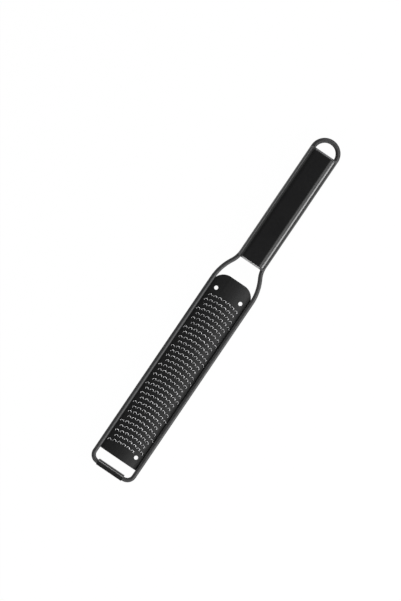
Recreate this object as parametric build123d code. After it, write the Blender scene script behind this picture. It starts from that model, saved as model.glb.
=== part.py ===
from build123d import *
import math
import os

# Rasp zester. X runs across, Y from the tip to the hanging loop, Z up on the toothed side.
# Millimetres. The origin is under the middle of the part, level with the handle's underside.

# Frame rod
rod_dia = 3.7
rail_x = 19.0
corner_bend_r = 6.3
neck_start_y = 178.5
neck_wide_r = 42.0
neck_tight_r = 21.0
neck_slope_deg = 28.0
tail_hook_y = 250.2
hook_bend_r = 4.0
hook_end_x = 4.5

# Hanging loop
loop_rod_dia = 4.1
loop_rise = 12.8
loop_hook_y = 268.2

# Handle
handle_front_y = 205.0
handle_length = 107.4
handle_width = 26.1
handle_thick = 13.0
handle_corner_r = 6.4
handle_wall = 2.2
rod_wall = 1.0
rod_clear = 0.1
side_inset = 0.1
side_slot_height = 2.2
shell_end_bevel = 0.5

# Handle end caps
cap_thick = 1.5
cap_inset = 0.35
cap_bevel_depth = 0.75
cap_bevel_length = 1.3
spigot_depth = 4.0
spigot_fit = 0.15

# Carrier inside the handle
core_length = 34.0
core_fit = 0.2
core_rib_gap = 2.6
core_floor = 2.4

# Handle screws
screw_dia = 3.0
screw_head_dia = 5.6
screw_head_height = 1.7
screw_length = 10.2
screw_recess = 0.4
screw_fit = 0.05
screw_pass = 0.3
screw_end_margin = 16.0
drive_slot_width = 0.8
drive_slot_length = 3.4
drive_slot_depth = 0.9
boss_dia = 6.4
boss_fit = 0.15

# Blade
blade_width = 36.1
blade_length = 173.5
blade_start_y = 13.6
blade_thick = 0.5
blade_bow_r = 55.0
blade_end_corner_r = 11.3
weld_gap = 0.05
blade_hole_dia = 3.4
hole_spacing_x = 23.7
hole_spacing_y = 150.6
hole_end_margin = 14.0

# Teeth
tooth_rows = 32
tooth_pitch_x = 4.12
tooth_pitch_y = 4.577
tooth_first_y = 167.3
tooth_arc_r = 41.3
tooth_width = 3.5
tooth_back = 1.5
tooth_front = 0.5
tooth_rise = 0.75
tooth_lip = 0.6
mouth_overlap = 0.1
row_shift_shares = (0, -0.25, 0.25, 0.5)
row_reach_share = 3.5

# Weld beads
weld_count = 8
weld_length = 6.0
weld_r = 0.65
weld_shift = 0.25
weld_drop = 0.1
weld_end_margin = 9.0

# Tip foot
foot_length = 24.4
foot_width = 5.4
foot_front_wall = 0.65
foot_top_wall = 1.0
foot_back_r = 3.2
foot_round = 0.3
foot_fit = 0.03

overrun = 2.0

# Worked out from the sizes above
rod_r = rod_dia / 2
loop_rod_r = loop_rod_dia / 2
mid_z = handle_thick / 2
handle_half = handle_width / 2
handle_rear_y = handle_front_y + handle_length
tail_x = handle_half - rod_r - side_inset
loop_x = handle_half - loop_rod_r - side_inset
loop_centre_y = handle_rear_y + loop_rise - loop_x - loop_rod_r
tip_rod_y = foot_front_wall + rod_r
neck_slope = math.radians(neck_slope_deg)
neck_in_y = neck_start_y + neck_wide_r * math.tan(neck_slope / 2)
neck_out_y = neck_in_y + (rail_x - tail_x) / math.tan(neck_slope)
shell_front_y = handle_front_y + cap_thick
shell_rear_y = handle_rear_y - cap_thick
shell_length = shell_rear_y - shell_front_y
cavity_width = 2 * (loop_x - loop_rod_r - rod_clear - rod_wall)
cavity_height = handle_thick - 2 * handle_wall
core_y = (tail_hook_y + loop_hook_y) / 2
screw_ys = (shell_front_y + screw_end_margin, core_y, shell_rear_y - screw_end_margin)
blade_half = blade_width / 2
bow_axis_z = mid_z - math.sqrt((blade_bow_r + rod_r + weld_gap) ** 2 - rail_x ** 2)
blade_end_y = blade_start_y + blade_length


# Bent rods
def frame_path():
    half = [
        (hook_end_x, tail_hook_y),
        (tail_x, tail_hook_y),
        (tail_x, neck_out_y),
        (rail_x, neck_in_y),
        (rail_x, tip_rod_y),
    ]
    other = [(-x, y) for x, y in reversed(half)]
    bends = [hook_bend_r, neck_tight_r, neck_wide_r, corner_bend_r]
    points = [(x, y, mid_z) for x, y in half + other]
    return FilletPolyline(*points, radius=bends + bends[::-1])


def loop_path():
    right = loop_x - hook_bend_r
    bend_y = loop_hook_y + hook_bend_r
    edges = [
        Line((hook_end_x, loop_hook_y), (right, loop_hook_y)),
        CenterArc((right, bend_y), hook_bend_r, -90, 90),
        Line((loop_x, bend_y), (loop_x, loop_centre_y)),
        CenterArc((0, loop_centre_y), loop_x, 0, 180),
        Line((-loop_x, loop_centre_y), (-loop_x, bend_y)),
        CenterArc((-right, bend_y), hook_bend_r, 180, 90),
        Line((-right, loop_hook_y), (-hook_end_x, loop_hook_y)),
    ]
    return Pos(0, 0, mid_z) * Wire(edges)


def rod_along(path, radius):
    start = path @ 0
    section = Plane(origin=start, z_dir=path % 0) * Circle(radius)
    return sweep(section, path=path)


def frame_rod():
    return rod_along(frame_path(), rod_r)


def hang_loop():
    return rod_along(loop_path(), loop_rod_r)


def rod_channels():
    frame = rod_along(frame_path(), rod_r + rod_clear)
    loop = rod_along(loop_path(), loop_rod_r + rod_clear)
    return [frame, loop]


# Handle
def handle_section(inset):
    width = handle_width - 2 * inset
    height = handle_thick - 2 * inset
    return RectangleRounded(width, height, handle_corner_r - inset)


def along_y(sketch, start_y, length):
    placed = Plane(origin=(0, start_y, mid_z), x_dir=(1, 0, 0), z_dir=(0, -1, 0)) * sketch
    return extrude(placed, amount=-length)


def side_slots():
    depth = side_inset + overrun
    x = handle_half + overrun - (depth + rod_r) / 2
    slots = []
    for start, end in ((shell_front_y - overrun, tail_hook_y), (loop_hook_y, shell_rear_y + overrun)):
        slot = Box(depth + rod_r, end - start, side_slot_height)
        slots += [Pos(side * x, (start + end) / 2, mid_z) * slot for side in (-1, 1)]
    return slots


def screw_posts(radius, bottom, top):
    post = Cylinder(radius, top - bottom, align=(Align.CENTER, Align.CENTER, Align.MIN))
    return [Pos(0, y, bottom) * post for y in screw_ys]


def screw_heads(grow):
    align = (Align.CENTER, Align.CENTER, Align.MIN)
    cone = Cone(screw_head_dia / 2 + grow, screw_dia / 2 + grow, screw_head_height, align=align)
    return [Pos(0, y, screw_recess) * cone for y in screw_ys]


def handle_block():
    block = along_y(handle_section(0), shell_front_y, shell_length)
    ends = block.faces().filter_by(Axis.Y).edges()
    block = chamfer(ends, shell_end_bevel)
    bore = Rectangle(cavity_width, cavity_height)
    block = block - along_y(bore, shell_front_y - overrun, shell_length + 2 * overrun)
    return block - rod_channels() - side_slots()


def handle_top_shell():
    upper = split(handle_block(), bisect_by=Plane(origin=(0, 0, mid_z)), keep=Keep.TOP)
    upper = upper + screw_posts(boss_dia / 2, mid_z, handle_thick - handle_wall / 2)
    return upper - screw_posts(screw_dia / 2 + screw_fit, mid_z - overrun, screw_recess + screw_length)


def handle_bottom_shell():
    lower = split(handle_block(), bisect_by=Plane(origin=(0, 0, mid_z)), keep=Keep.BOTTOM)
    lower = lower + screw_posts(boss_dia / 2, handle_wall / 2, mid_z)
    lower = lower - screw_posts(screw_dia / 2 + screw_pass, -overrun, mid_z + overrun)
    lower = lower - screw_posts(screw_head_dia / 2 + screw_fit, -overrun, screw_recess)
    return lower - screw_heads(screw_fit)


def handle_core():
    width = cavity_width - 2 * core_fit
    height = cavity_height - 2 * core_fit
    core = Pos(0, core_y, mid_z) * Box(width, core_length, height)
    floor_z = mid_z - height / 2 + core_floor
    pocket_length = (core_length - (loop_hook_y - tail_hook_y) - boss_dia) / 2 - core_rib_gap
    pocket = Box(
        width - 2 * core_rib_gap,
        pocket_length,
        height,
        align=(Align.CENTER, Align.CENTER, Align.MIN),
    )
    pocket_y = core_length / 2 - core_rib_gap - pocket_length / 2
    core = core - [Pos(0, core_y + side * pocket_y, floor_z) * pocket for side in (-1, 1)]
    core = core - screw_posts(boss_dia / 2 + boss_fit, -overrun, handle_thick + overrun)
    for y, radius in ((tail_hook_y, rod_r), (loop_hook_y, loop_rod_r)):
        reach = width / 2 + overrun - hook_end_x + rod_clear
        drop = Box(
            reach,
            2 * (radius + rod_clear),
            height,
            align=(Align.MIN, Align.CENTER, Align.MIN),
        )
        right = Pos(hook_end_x - rod_clear, y, mid_z) * drop
        core = core - [right, mirror(right, about=Plane.YZ)]
    return core - rod_channels()


def end_cap(outer_y, inward):
    start = min(outer_y, outer_y + inward * cap_thick)
    plate = along_y(handle_section(cap_inset), start, cap_thick)
    outer_face = plate.faces().filter_by(Axis.Y).sort_by(Axis.Y)[0 if inward > 0 else -1]
    plate = chamfer(outer_face.edges(), cap_bevel_depth, cap_bevel_length, reference=outer_face)
    width = cavity_width - 2 * spigot_fit
    height = cavity_height - 2 * spigot_fit
    spigot_start = min(outer_y + inward * cap_thick, outer_y + inward * (cap_thick + spigot_depth))
    spigot = along_y(Rectangle(width, height), spigot_start, spigot_depth)
    return plate + spigot - rod_channels()


def handle_front_cap():
    return end_cap(handle_front_y, 1)


def handle_rear_cap():
    return end_cap(handle_rear_y, -1)


def handle_screws():
    align = (Align.CENTER, Align.CENTER, Align.MIN)
    shank = Cylinder(screw_dia / 2, screw_length, align=align)
    head = Cone(screw_head_dia / 2, screw_dia / 2, screw_head_height, align=align)
    slot = Box(drive_slot_length, drive_slot_width, drive_slot_depth, align=align)
    screw = shank + head - slot - Rot(0, 0, 90) * slot
    return Compound([Pos(0, y, screw_recess) * screw for y in screw_ys])


# Blade
def sheet_section(width):
    ring = Circle(blade_bow_r) - Circle(blade_bow_r - blade_thick)
    return Pos(0, bow_axis_z) * ring & Pos(0, mid_z) * Rectangle(width, 2 * handle_thick)


def scoop_outline(inset, front):
    half = tooth_width / 2 - inset
    back = tooth_back - inset
    return Polygon(
        (-half, -front),
        (half, -front),
        (half, 0),
        (half / 2, back),
        (-half / 2, back),
        (-half, 0),
        align=None,
    )


def tooth_hood():
    hood = extrude(scoop_outline(0, tooth_front), amount=tooth_rise + blade_thick, both=True)
    fall = math.atan(tooth_rise / (tooth_back + tooth_front))
    crest = Plane(origin=(0, -tooth_front, 0), z_dir=(0, -math.sin(fall), math.cos(fall)))
    hood = split(hood, bisect_by=crest, keep=Keep.BOTTOM)
    return split(hood, bisect_by=Plane(origin=(0, 0, -blade_thick / 2)), keep=Keep.TOP)


def tooth_slot():
    mouth = scoop_outline(tooth_lip, tooth_front + mouth_overlap)
    return extrude(mouth, amount=tooth_rise + 2 * blade_thick, both=True)


def blade_hole_places():
    upper_y = blade_end_y - hole_end_margin
    x = hole_spacing_x / 2
    return [(-x, upper_y), (x, upper_y), (x, upper_y - hole_spacing_y)]


def tooth_places():
    reach = row_reach_share * tooth_pitch_x
    columns = math.ceil(row_reach_share)
    places = []
    for row in range(tooth_rows):
        shift = row_shift_shares[row % len(row_shift_shares)]
        for column in range(-columns, columns + 1):
            x = (column + shift) * tooth_pitch_x
            sag = tooth_arc_r - math.sqrt(tooth_arc_r ** 2 - x ** 2)
            y = tooth_first_y - row * tooth_pitch_y - sag
            near_hole = any(math.dist((x, y), hole) < tooth_pitch_x for hole in blade_hole_places())
            if abs(x) < reach + tooth_lip and not near_hole:
                places.append((x, y))
    return places


def on_sheet(x, y):
    tilt = math.asin(x / blade_bow_r)
    lean = math.asin(x / tooth_arc_r)
    across = (
        math.cos(lean) * math.cos(tilt),
        -math.sin(lean),
        -math.cos(lean) * math.sin(tilt),
    )
    z = bow_axis_z + blade_bow_r * math.cos(tilt)
    return Plane(origin=(x, y, z), x_dir=across, z_dir=(math.sin(tilt), 0, math.cos(tilt)))


def blade():
    section = Plane.XZ * sheet_section(blade_width + 2 * overrun)
    sheet = extrude(section, amount=blade_end_y, dir=(0, 1, 0))
    plan = Pos(0, blade_start_y + blade_length / 2) * Rectangle(blade_width, blade_length)
    plan = fillet(plan.vertices().group_by(Axis.Y)[-1], blade_end_corner_r)
    plan = plan - [Pos(x, y) * Circle(blade_hole_dia / 2) for x, y in blade_hole_places()]
    sheet = sheet & extrude(plan, amount=handle_thick)
    hood = tooth_hood()
    slot = tooth_slot()
    seats = [on_sheet(x, y) for x, y in tooth_places()]
    sheet = sheet + [seat * hood for seat in seats]
    return sheet - [seat * slot for seat in seats]


def weld_beads():
    edge_low_z = bow_axis_z + math.sqrt((blade_bow_r - blade_thick) ** 2 - blade_half ** 2)
    spot = Pos(blade_half + weld_shift, edge_low_z - weld_drop) * Circle(weld_r)
    spot = spot - sheet_section(blade_width) - Pos(rail_x, mid_z) * Circle(rod_r)
    spot = spot.faces().sort_by(SortBy.AREA)[-1]
    bead = extrude(Plane.XZ * spot, amount=weld_length, dir=(0, 1, 0))
    first = blade_start_y + weld_end_margin
    last = neck_start_y - weld_end_margin - weld_length
    step = (last - first) / (weld_count - 1)
    right = [Pos(0, first + index * step, 0) * bead for index in range(weld_count)]
    left = [mirror(piece, about=Plane.YZ) for piece in right]
    return Compound(right + left)


# Foot
def tip_foot():
    top_z = mid_z + rod_r + foot_top_wall
    outline = Pos(foot_width / 2, top_z / 2) * Rectangle(foot_width, top_z)
    back_top = outline.vertices().group_by(Axis.Y)[-1].sort_by(Axis.X)[-1]
    outline = fillet(back_top, foot_back_r)
    front_top = outline.vertices().group_by(Axis.Y)[-1].sort_by(Axis.X)[0]
    outline = fillet(outline.vertices().group_by(Axis.Y)[0] + [front_top], foot_round)
    outline = outline - Pos(tip_rod_y, mid_z) * Circle(rod_r + foot_fit)
    return extrude(Plane.YZ * outline, amount=foot_length / 2, both=True)


PIECES = {
    "frame_rod": frame_rod,
    "hang_loop": hang_loop,
    "blade": blade,
    "weld_beads": weld_beads,
    "handle_top_shell": handle_top_shell,
    "handle_bottom_shell": handle_bottom_shell,
    "handle_core": handle_core,
    "handle_front_cap": handle_front_cap,
    "handle_rear_cap": handle_rear_cap,
    "handle_screws": handle_screws,
    "tip_foot": tip_foot,
}

overall_half_length = (handle_rear_y + loop_rise) / 2
os.makedirs("parts", exist_ok=True)
for name, make in PIECES.items():
    piece = Pos(0, -overall_half_length, 0) * make()
    export_step(piece, f"parts/{name}.step")
    print(name, len(piece.solids()), round(piece.volume, 1))
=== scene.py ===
import math

import bpy
from mathutils import Matrix, Vector, geometry


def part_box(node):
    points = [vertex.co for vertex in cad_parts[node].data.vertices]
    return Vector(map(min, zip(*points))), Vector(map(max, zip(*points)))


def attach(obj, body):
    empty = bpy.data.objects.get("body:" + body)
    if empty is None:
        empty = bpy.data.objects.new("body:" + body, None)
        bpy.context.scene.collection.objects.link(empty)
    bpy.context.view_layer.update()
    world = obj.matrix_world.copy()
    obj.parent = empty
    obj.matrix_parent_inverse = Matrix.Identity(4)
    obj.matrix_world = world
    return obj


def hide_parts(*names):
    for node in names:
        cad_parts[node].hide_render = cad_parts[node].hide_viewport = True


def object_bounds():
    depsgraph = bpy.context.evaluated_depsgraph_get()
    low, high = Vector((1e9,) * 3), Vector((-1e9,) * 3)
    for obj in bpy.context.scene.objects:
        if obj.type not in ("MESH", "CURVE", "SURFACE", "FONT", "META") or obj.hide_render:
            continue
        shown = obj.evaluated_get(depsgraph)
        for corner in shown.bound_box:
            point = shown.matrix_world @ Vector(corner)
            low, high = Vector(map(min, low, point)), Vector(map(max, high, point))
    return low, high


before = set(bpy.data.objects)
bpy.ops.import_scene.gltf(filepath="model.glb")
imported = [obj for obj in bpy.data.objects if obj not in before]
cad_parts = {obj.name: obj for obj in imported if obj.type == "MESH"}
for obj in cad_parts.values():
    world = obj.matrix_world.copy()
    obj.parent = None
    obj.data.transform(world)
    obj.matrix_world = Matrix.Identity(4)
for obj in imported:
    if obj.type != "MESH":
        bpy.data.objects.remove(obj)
cad_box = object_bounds()

# Lengths are in metres
MM = 0.001

# The photograph's frame, in pixels: the point on the axis at the tip, the axis towards the loop,
# and how far the part's own axis lies beside it
PHOTO_WIDTH = 401
PHOTO_HEIGHT = 601
TIP_PIXEL = Vector((108.56, 472.70))
AXIS_IN_PHOTO = Vector((0.56135, -0.82758))
AXIS_OFFSET_PIXELS = -0.25
MM_PER_PIXEL = 0.8104

# The camera's height, and the height at which one pixel is MM_PER_PIXEL
CAMERA_HEIGHT = 5.0
SUBJECT_HEIGHT = 8.0 * MM

# The blade's sheet
BLADE_THICK = 0.5 * MM
BOW_RADIUS = 55.0 * MM
END_CORNER_RADIUS = 11.3 * MM
HOLE_RADIUS = 1.7 * MM
HOLE_HALF_SPACING = 11.85 * MM
HOLE_END_MARGIN = 14.0 * MM
HOLE_SPACING_ALONG = 150.6 * MM
HOLE_POINTS = 64

# Rows of teeth; each row's shift and its reach to either side are in pitches across
TOOTH_ROWS = 32
TOOTH_PITCH_ACROSS = 4.12 * MM
TOOTH_PITCH_ALONG = 4.577 * MM
FIRST_ROW_FROM_END = 19.8 * MM
TOOTH_ARC_RADIUS = 41.3 * MM
ROW_SHIFTS = (0, -0.25, 0.25, 0.5)
ROW_REACH = 3.5

# One tooth: its mouth on top runs back through the sheet to a narrower slit underneath
TOOTH_RISE = 0.75 * MM
MOUTH_HALF_WIDTH = 1.15 * MM
MOUTH_BACK = 0.85 * MM
MOUTH_FRONT = 0.6 * MM
SLIT_FRONT = 0.85 * MM
SLIT_BACK = 1.3 * MM
SLIT_NARROWING = 0.75
RING_POINTS = 32
# The mouth's front is squarer than an ellipse, and each ring moves less there
FRONT_POWER = 0.5
FRONT_STEP_SHARE = 0.5
# Each ring round a mouth: distance from the mouth's edge, and share of the tooth's rise
LIP_STEPS = ((0, 0.92), (0.18 * MM, 1.0), (0.44 * MM, 0.75), (0.56 * MM, 0.15), (0.66 * MM, 0))
# The ground steel: this many rings, over the back half and this many points of each leg
BRIGHT_RINGS = 3
LEG_POINTS = 1

# The blade's mesh: spacing of its points, and the space kept free round each opening
BORDER_STEP = 1.2 * MM
GRID_STEP = 1.3 * MM
HOLE_MARGIN = 0.5 * MM
TOOTH_MARGIN = 0.25 * MM
SAME_POINT = 1e-9
SHARP_ANGLE = math.radians(38)

# Noise mostly lies between these two values
NOISE_LOW = 0.3
NOISE_HIGH = 0.7

# Studio: the camera and reflections see a white floor, and other light a grey one
FLOOR_SIZE = 6.0
FLOOR_HEIGHT = -0.05 * MM
PAPER_COLOUR = (0.12, 0.12, 0.12, 1)
WHITE_COLOUR = (1, 1, 1, 1)
WHITE_STRENGTH = 1.05
WHITE_SHARE = 0.94
SKY_STRENGTH = 0.05
RIGHT = Vector((1, 0))
LEFT = Vector((-1, 0))
FRONT = Vector((0, -1))
REAR = Vector((0, 1))
# Softboxes: name, side, elevation in degrees, distance, width, height, watts
SOFTBOXES = (
    ("right", RIGHT, 25, 1.1, 1.1, 0.40, 23),
    ("right_fill", RIGHT, 48, 1.1, 1.1, 0.45, 3.6),
    ("front", FRONT, 31, 1.1, 1.1, 0.15, 12),
    ("rear", REAR, 36, 1.1, 1.0, 0.32, 11),
    ("left", LEFT, 6, 1.1, 1.0, 0.25, 3),
    ("left_fill", LEFT, 29, 1.1, 1.0, 0.5, 1.3),
    ("top", RIGHT, 67, 1.4, 0.6, 0.45, 3.1),
)


# Materials
class Shader:
    """A Principled material built from procedural nodes in the piece's own coordinates."""

    def __init__(self, name):
        self.material = bpy.data.materials.new(name)
        self.material.use_nodes = True
        self.tree = self.material.node_tree
        self.surface = self.tree.nodes["Principled BSDF"]
        self.place = self.tree.nodes.new("ShaderNodeTexCoord").outputs["Object"]

    def set(self, **values):
        for socket, value in values.items():
            self.surface.inputs[socket.replace("_", " ")].default_value = value

    def stretch(self, scale):
        mapping = self.tree.nodes.new("ShaderNodeMapping")
        mapping.inputs["Scale"].default_value = scale
        self.tree.links.new(self.place, mapping.inputs["Vector"])
        return mapping.outputs["Vector"]

    def noise(self, scale, detail=4, rough=0.55, place=None):
        node = self.tree.nodes.new("ShaderNodeTexNoise")
        node.inputs["Scale"].default_value = scale
        node.inputs["Detail"].default_value = detail
        node.inputs["Roughness"].default_value = rough
        self.tree.links.new(place or self.place, node.inputs["Vector"])
        return node.outputs["Fac"]

    def ramp(self, source, low, high):
        node = self.tree.nodes.new("ShaderNodeMapRange")
        node.inputs["From Min"].default_value = NOISE_LOW
        node.inputs["From Max"].default_value = NOISE_HIGH
        node.inputs["To Min"].default_value = low
        node.inputs["To Max"].default_value = high
        self.tree.links.new(source, node.inputs["Value"])
        return node.outputs["Result"]

    def tint(self, source, dark, light):
        node = self.tree.nodes.new("ShaderNodeMix")
        node.data_type = "RGBA"
        node.inputs["A"].default_value = (*dark, 1)
        node.inputs["B"].default_value = (*light, 1)
        self.tree.links.new(self.ramp(source, 0, 1), node.inputs["Factor"])
        self.tree.links.new(node.outputs["Result"], self.surface.inputs["Base Color"])

    def roughen(self, source, low, high):
        self.tree.links.new(self.ramp(source, low, high), self.surface.inputs["Roughness"])

    def bump(self, *layers):
        """Each layer is a height source and the depth of its relief."""
        normal = None
        for source, depth in layers:
            node = self.tree.nodes.new("ShaderNodeBump")
            node.inputs["Distance"].default_value = depth
            node.inputs["Strength"].default_value = 1
            self.tree.links.new(source, node.inputs["Height"])
            if normal:
                self.tree.links.new(normal, node.inputs["Normal"])
            normal = node.outputs["Normal"]
        self.tree.links.new(normal, self.surface.inputs["Normal"])


def rod_coating():
    shader = Shader("rod_coating")
    patches = shader.noise(scale=60)
    grain = shader.noise(scale=2600, detail=2)
    shader.tint(patches, dark=(0.010, 0.010, 0.0104), light=(0.016, 0.016, 0.0164))
    shader.set(Specular_IOR_Level=0.28)
    shader.roughen(shader.noise(scale=900), low=0.46, high=0.58)
    shader.bump((patches, 0.02 * MM), (grain, 0.012 * MM))
    return shader.material


def blade_coating():
    shader = Shader("blade_coating")
    drawn = shader.stretch((900, 40, 900))
    streaks = shader.noise(scale=1, detail=6, rough=0.6, place=drawn)
    grain = shader.noise(scale=3200, detail=2)
    shader.tint(streaks, dark=(0.0030, 0.0030, 0.0031), light=(0.0050, 0.0050, 0.0051))
    shader.set(Specular_IOR_Level=0.22)
    shader.roughen(shader.noise(scale=700), low=0.40, high=0.48)
    shader.bump((streaks, 0.006 * MM), (grain, 0.008 * MM))
    return shader.material


def bare_steel():
    shader = Shader("bare_steel")
    ground = shader.stretch((5200, 700, 900))
    grind = shader.noise(scale=1, detail=5, rough=0.6, place=ground)
    shader.set(Metallic=1.0)
    shader.tint(grind, dark=(0.21, 0.21, 0.213), light=(0.27, 0.27, 0.273))
    shader.roughen(grind, low=0.38, high=0.48)
    shader.bump((grind, 0.003 * MM))
    return shader.material


def handle_plastic():
    shader = Shader("handle_plastic")
    grain = shader.noise(scale=3000, detail=3, rough=0.6)
    sweep = shader.noise(scale=26, detail=3)
    shader.tint(sweep, dark=(0.0044, 0.0044, 0.0045), light=(0.0058, 0.0058, 0.0059))
    shader.set(Specular_IOR_Level=0.35)
    shader.roughen(shader.noise(scale=420, detail=5), low=0.18, high=0.23)
    shader.bump((sweep, 0.02 * MM), (grain, 0.010 * MM))
    return shader.material


def cap_plastic():
    shader = Shader("cap_plastic")
    grain = shader.noise(scale=2400, detail=3, rough=0.6)
    patches = shader.noise(scale=90)
    shader.tint(patches, dark=(0.010, 0.010, 0.0105), light=(0.014, 0.014, 0.0145))
    shader.roughen(shader.noise(scale=500, detail=5), low=0.26, high=0.36)
    shader.bump((grain, 0.006 * MM))
    return shader.material


def core_plastic():
    shader = Shader("core_plastic")
    shader.tint(shader.noise(scale=140), dark=(0.17, 0.17, 0.18), light=(0.24, 0.24, 0.25))
    shader.roughen(shader.noise(scale=500), low=0.45, high=0.6)
    shader.bump((shader.noise(scale=1600, detail=3), 0.01 * MM))
    return shader.material


def screw_steel():
    shader = Shader("screw_steel")
    shader.set(Metallic=1.0)
    around = shader.stretch((2600, 2600, 500))
    turned = shader.noise(scale=1, detail=4, rough=0.5, place=around)
    shader.tint(turned, dark=(0.50, 0.50, 0.52), light=(0.68, 0.68, 0.70))
    shader.roughen(turned, low=0.25, high=0.4)
    shader.bump((turned, 0.008 * MM))
    return shader.material


def foot_rubber():
    shader = Shader("foot_rubber")
    mottle = shader.noise(scale=260, detail=5)
    shader.tint(mottle, dark=(0.0025, 0.0025, 0.0025), light=(0.0045, 0.0045, 0.0045))
    shader.set(Specular_IOR_Level=0.5)
    shader.roughen(shader.noise(scale=800), low=0.24, high=0.31)
    shader.bump((shader.noise(scale=3400), 0.014 * MM))
    return shader.material


# Blade
class Sheet:
    """The blade's bowed sheet: where it lies, and a point on it from a place in plan."""

    def __init__(self):
        low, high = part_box("blade")
        self.half_width = (high.x - low.x) / 2
        self.start = low.y
        self.end = high.y
        drop = BOW_RADIUS - BLADE_THICK
        self.axis_z = low.z - math.sqrt(drop ** 2 - self.half_width ** 2)

    def normal(self, x):
        tilt = math.asin(x / BOW_RADIUS)
        return Vector((math.sin(tilt), 0, math.cos(tilt)))

    def point(self, x, y, height):
        return Vector((0, y, self.axis_z)) + self.normal(x) * (BOW_RADIUS + height)


def hole_places(sheet):
    upper = sheet.end - HOLE_END_MARGIN
    return [
        Vector((-HOLE_HALF_SPACING, upper)),
        Vector((HOLE_HALF_SPACING, upper)),
        Vector((HOLE_HALF_SPACING, upper - HOLE_SPACING_ALONG)),
    ]


def tooth_places(sheet):
    columns = math.ceil(ROW_REACH)
    places = []
    for row in range(TOOTH_ROWS):
        shift = ROW_SHIFTS[row % len(ROW_SHIFTS)]
        for column in range(-columns, columns + 1):
            x = (column + shift) * TOOTH_PITCH_ACROSS
            if abs(column + shift) > ROW_REACH:
                continue
            sag = TOOTH_ARC_RADIUS - math.sqrt(TOOTH_ARC_RADIUS ** 2 - x ** 2)
            place = Vector((x, sheet.end - FIRST_ROW_FROM_END - row * TOOTH_PITCH_ALONG - sag))
            if all((place - hole).length > TOOTH_PITCH_ACROSS for hole in hole_places(sheet)):
                places.append(place)
    return places


def tooth_rings():
    """Rings round one tooth's mouth, from its edge outwards: lists of (top place, height)."""
    rings = []
    for step, rise_share in LIP_STEPS:
        half_width = MOUTH_HALF_WIDTH + step
        back = MOUTH_BACK + step
        front = MOUTH_FRONT + step * FRONT_STEP_SHARE
        ring = []
        for index in range(RING_POINTS):
            angle = 2 * math.pi * index / RING_POINTS
            across, along = math.cos(angle), math.sin(angle)
            if along >= 0:
                spot = Vector((half_width * across, back * along))
            else:
                corner = math.copysign(abs(across) ** FRONT_POWER, across)
                spot = Vector((half_width * corner, -front * abs(along) ** FRONT_POWER))
            slope = (spot.y + front) / (back + front)
            ring.append((spot, TOOTH_RISE * rise_share * slope))
        rings.append(ring)
    return rings


def under_places(rings):
    """Where the rings lie on the sheet's underside: the mouth runs back there to a slit."""
    outer = [spot for spot, _ in rings[-1]]
    depth_share = (SLIT_BACK - SLIT_FRONT) / (MOUTH_BACK + MOUTH_FRONT)
    slit = []
    for spot, _ in rings[0]:
        y = SLIT_FRONT + (spot.y + MOUTH_FRONT) * depth_share
        slit.append(Vector((spot.x * SLIT_NARROWING, y)))
    last = len(rings) - 1
    return [[a.lerp(b, order / last) for a, b in zip(slit, outer)] for order in range(last + 1)]


def flat_place(spot):
    """A place on the plain sheet: its spot on top, its height, and its spot underneath."""
    return spot, 0, spot


def corner_arc(centre_x, centre_y, start_angle, steps):
    """A quarter turn of the sheet's corner, from start_angle on."""
    points = []
    for index in range(steps + 1):
        angle = start_angle + math.pi / 2 * index / steps
        x = centre_x + END_CORNER_RADIUS * math.cos(angle)
        y = centre_y + END_CORNER_RADIUS * math.sin(angle)
        points.append((x, y))
    return points


def outline_points(sheet):
    """The sheet's edge in plan, square at the tip and rounded at the handle's end."""
    corner_x = sheet.half_width - END_CORNER_RADIUS
    corner_y = sheet.end - END_CORNER_RADIUS
    points = []
    across = math.ceil(2 * sheet.half_width / BORDER_STEP)
    for index in range(across):
        points.append((-sheet.half_width + 2 * sheet.half_width * index / across, sheet.start))
    along = math.ceil((corner_y - sheet.start) / BORDER_STEP)
    for index in range(along):
        points.append((sheet.half_width, sheet.start + (corner_y - sheet.start) * index / along))
    turn = math.ceil(END_CORNER_RADIUS * math.pi / 2 / BORDER_STEP) * 2
    points += corner_arc(corner_x, corner_y, 0, turn)
    top = math.ceil(2 * corner_x / BORDER_STEP)
    for index in range(1, top):
        points.append((corner_x - 2 * corner_x * index / top, sheet.end))
    points += corner_arc(-corner_x, corner_y, math.pi / 2, turn)
    for index in range(1, along):
        points.append((-sheet.half_width, corner_y - (corner_y - sheet.start) * index / along))
    return [flat_place(Vector(point)) for point in points]


def grid_spots(sheet, blocked):
    """An even grid of places on the plain sheet, clear of its edge and of the blocked circles."""
    spots = []
    for column in range(1, int(2 * sheet.half_width / GRID_STEP)):
        for row in range(1, int((sheet.end - sheet.start) / GRID_STEP)):
            spot = Vector((-sheet.half_width + column * GRID_STEP, sheet.start + row * GRID_STEP))
            from_corner = Vector((abs(spot.x) - sheet.half_width, spot.y - sheet.end))
            from_corner += Vector((1, 1)) * END_CORNER_RADIUS
            if min(from_corner) > 0 and from_corner.length > END_CORNER_RADIUS - GRID_STEP / 2:
                continue
            if abs(spot.x) > sheet.half_width - GRID_STEP / 2:
                continue
            if all((spot - centre).length > reach for centre, reach in blocked):
                spots.append(spot)
    return spots


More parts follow.
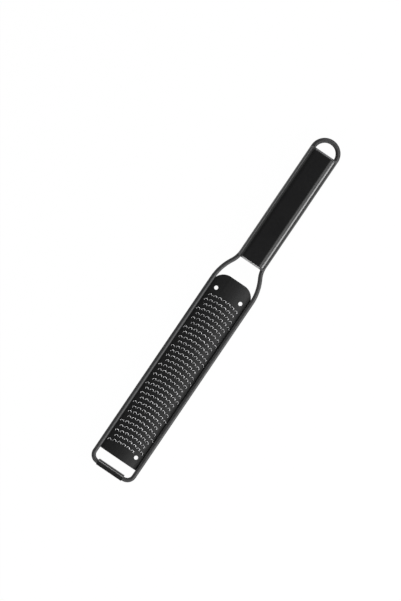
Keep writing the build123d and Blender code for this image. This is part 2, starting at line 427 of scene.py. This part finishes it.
def blade_layout(sheet):
    """The mesh's places, its fixed edges, its border, its openings' loops and its bright lips."""
    places = []
    edges = []
    mouths = []
    lips = set()

    def add_loop(loop):
        first = len(places)
        places.extend(loop)
        count = len(loop)
        edges.extend((first + i, first + (i + 1) % count) for i in range(count))
        return list(range(first, first + count))

    border = add_loop(outline_points(sheet))
    blocked = []
    for centre in hole_places(sheet):
        round_loop = []
        for index in range(HOLE_POINTS):
            angle = 2 * math.pi * index / HOLE_POINTS
            offset = Vector((math.cos(angle), math.sin(angle))) * HOLE_RADIUS
            round_loop.append(flat_place(centre + offset))
        mouths.append(add_loop(round_loop))
        blocked.append((centre, HOLE_RADIUS + HOLE_MARGIN))
    rings = tooth_rings()
    unders = under_places(rings)
    bright_points = RING_POINTS // 2 + 1 + LEG_POINTS
    for centre in tooth_places(sheet):
        lean = math.asin(centre.x / TOOTH_ARC_RADIUS)
        turn = Matrix.Rotation(-lean, 2)
        for order, ring in enumerate(rings):
            loop = add_loop([
                (centre + turn @ spot, height, centre + turn @ under)
                for (spot, height), under in zip(ring, unders[order])
            ])
            if order == 0:
                mouths.append(loop)
            if order < BRIGHT_RINGS:
                lips.update(loop[:bright_points] + loop[-LEG_POINTS:])
        blocked.append((centre, MOUTH_HALF_WIDTH + LIP_STEPS[-1][0] + TOOTH_MARGIN))
    places.extend(flat_place(spot) for spot in grid_spots(sheet, blocked))
    return places, edges, border, mouths, lips


def faces_outside(mouths, faces, source):
    """The faces that don't lie inside an opening."""
    mouth_of = {index: number for number, mouth in enumerate(mouths) for index in mouth}
    kept = []
    for face in faces:
        around = {mouth_of.get(source[index]) for index in face}
        if len(around) > 1 or None in around:
            kept.append(tuple(face))
    return kept


def blade(coating, steel):
    sheet = Sheet()
    places, edges, border, mouths, lips = blade_layout(sheet)
    flat = [spot for spot, _, _ in places]
    vertices, _, faces, origins, _, _ = geometry.delaunay_2d_cdt(flat, edges, [], 0, SAME_POINT)
    source = [origin[0] for origin in origins]
    count = len(vertices)
    top = []
    bottom = []
    for index in source:
        spot, height, under = places[index]
        top.append(sheet.point(spot.x, spot.y, height))
        bottom.append(sheet.point(under.x, under.y, -BLADE_THICK))
    polygons = []
    bright = []
    for face in faces_outside(mouths, faces, source):
        a, b, c = (vertices[i] for i in face)
        if (b - a).cross(c - a) < 0:
            face = face[::-1]
        polygons.append(face)
        bright.append(all(source[index] in lips for index in face))
        polygons.append(tuple(index + count for index in face[::-1]))
        bright.append(False)
    place_of = {origin: index for index, origin in enumerate(source)}
    for loop in mouths + [border]:
        is_tooth = loop is not border and len(loop) == RING_POINTS
        for here, there in zip(loop, loop[1:] + loop[:1]):
            a, b = place_of[here], place_of[there]
            wall = (a, b, b + count, a + count)
            polygons.append(wall[::-1] if loop is border else wall)
            bright.append(is_tooth and here in lips and there in lips)
    mesh = bpy.data.meshes.new("blade_dressed")
    mesh.from_pydata(top + bottom, [], polygons)
    mesh.materials.append(coating)
    mesh.materials.append(steel)
    for polygon, is_bright in zip(mesh.polygons, bright):
        polygon.material_index = int(is_bright)
        polygon.use_smooth = True
    mesh.validate()
    piece = bpy.data.objects.new("blade_dressed", mesh)
    bpy.context.scene.collection.objects.link(piece)
    mesh.set_sharp_from_angle(angle=SHARP_ANGLE)
    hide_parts("blade")
    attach(piece, "root")


def dress_nodes(finishes):
    for node, material in finishes.items():
        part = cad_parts[node]
        part.data.materials.clear()
        part.data.materials.append(material)


# Studio
def studio_floor():
    mesh = bpy.data.meshes.new("floor")
    half = FLOOR_SIZE / 2
    corners = [(-half, -half), (half, -half), (half, half), (-half, half)]
    mesh.from_pydata([(x, y, FLOOR_HEIGHT) for x, y in corners], [], [(0, 1, 2, 3)])
    floor = bpy.data.objects.new("floor", mesh)
    bpy.context.scene.collection.objects.link(floor)
    material = bpy.data.materials.new("floor_white")
    material.use_nodes = True
    tree = material.node_tree
    tree.nodes.clear()
    output = tree.nodes.new("ShaderNodeOutputMaterial")
    mix = tree.nodes.new("ShaderNodeMixShader")
    paper = tree.nodes.new("ShaderNodeBsdfDiffuse")
    paper.inputs["Color"].default_value = PAPER_COLOUR
    white = tree.nodes.new("ShaderNodeEmission")
    white.inputs["Color"].default_value = WHITE_COLOUR
    white.inputs["Strength"].default_value = WHITE_STRENGTH
    path = tree.nodes.new("ShaderNodeLightPath")
    seen = path.outputs["Is Camera Ray"]
    for ray in ("Is Glossy Ray", "Is Transmission Ray"):
        either = tree.nodes.new("ShaderNodeMath")
        either.operation = "MAXIMUM"
        tree.links.new(seen, either.inputs[0])
        tree.links.new(path.outputs[ray], either.inputs[1])
        seen = either.outputs[0]
    share = tree.nodes.new("ShaderNodeMath")
    share.operation = "MULTIPLY"
    share.inputs[1].default_value = WHITE_SHARE
    tree.links.new(seen, share.inputs[0])
    tree.links.new(share.outputs[0], mix.inputs["Fac"])
    tree.links.new(paper.outputs[0], mix.inputs[1])
    tree.links.new(white.outputs[0], mix.inputs[2])
    tree.links.new(mix.outputs[0], output.inputs["Surface"])
    mesh.materials.append(material)


def softbox(name, side, elevation, distance, width, height, power):
    light = bpy.data.lights.new(name, "AREA")
    light.shape = "RECTANGLE"
    light.size = width
    light.size_y = height
    light.energy = power
    lamp = bpy.data.objects.new(name, light)
    angle = math.radians(elevation)
    level = side * math.cos(angle)
    direction = Vector((level.x, level.y, math.sin(angle)))
    lamp.location = direction * distance
    lamp.rotation_euler = direction.to_track_quat("Z", "Y").to_euler()
    bpy.context.scene.collection.objects.link(lamp)


def studio_light():
    world = bpy.data.worlds.new("studio")
    world.use_nodes = True
    background = world.node_tree.nodes["Background"]
    background.inputs["Color"].default_value = WHITE_COLOUR
    background.inputs["Strength"].default_value = SKY_STRENGTH
    bpy.context.scene.world = world
    for settings in SOFTBOXES:
        softbox(*settings)


def photo_camera():
    """Looks straight down on the part, turned and placed as the photograph shows it."""
    across = Vector((-AXIS_IN_PHOTO.y, AXIS_IN_PHOTO.x))
    middle = Vector((PHOTO_WIDTH / 2, PHOTO_HEIGHT / 2)) - TIP_PIXEL
    pixel = MM_PER_PIXEL * MM
    x = (middle.dot(across) - AXIS_OFFSET_PIXELS) * pixel
    y = middle.dot(AXIS_IN_PHOTO) * pixel + cad_box[0][1]
    camera = bpy.data.cameras.new("photo_camera")
    distance = CAMERA_HEIGHT - SUBJECT_HEIGHT
    camera.lens = camera.sensor_width * distance / (PHOTO_HEIGHT * pixel)
    holder = bpy.data.objects.new("photo_camera", camera)
    holder.location = (x, y, CAMERA_HEIGHT)
    holder.rotation_euler = (0, 0, math.atan2(AXIS_IN_PHOTO.x, -AXIS_IN_PHOTO.y))
    bpy.context.scene.collection.objects.link(holder)
    bpy.context.scene.camera = holder


rod_finish = rod_coating()
handle_finish = handle_plastic()
cap_finish = cap_plastic()
dress_nodes({
    "frame_rod": rod_finish,
    "hang_loop": rod_finish,
    "weld_beads": rod_finish,
    "handle_top_shell": handle_finish,
    "handle_bottom_shell": handle_finish,
    "handle_front_cap": cap_finish,
    "handle_rear_cap": cap_finish,
    "handle_core": core_plastic(),
    "handle_screws": screw_steel(),
    "tip_foot": foot_rubber(),
})
blade(blade_coating(), bare_steel())
studio_floor()
studio_light()
photo_camera()
bpy.context.scene.view_settings.view_transform = "Standard"
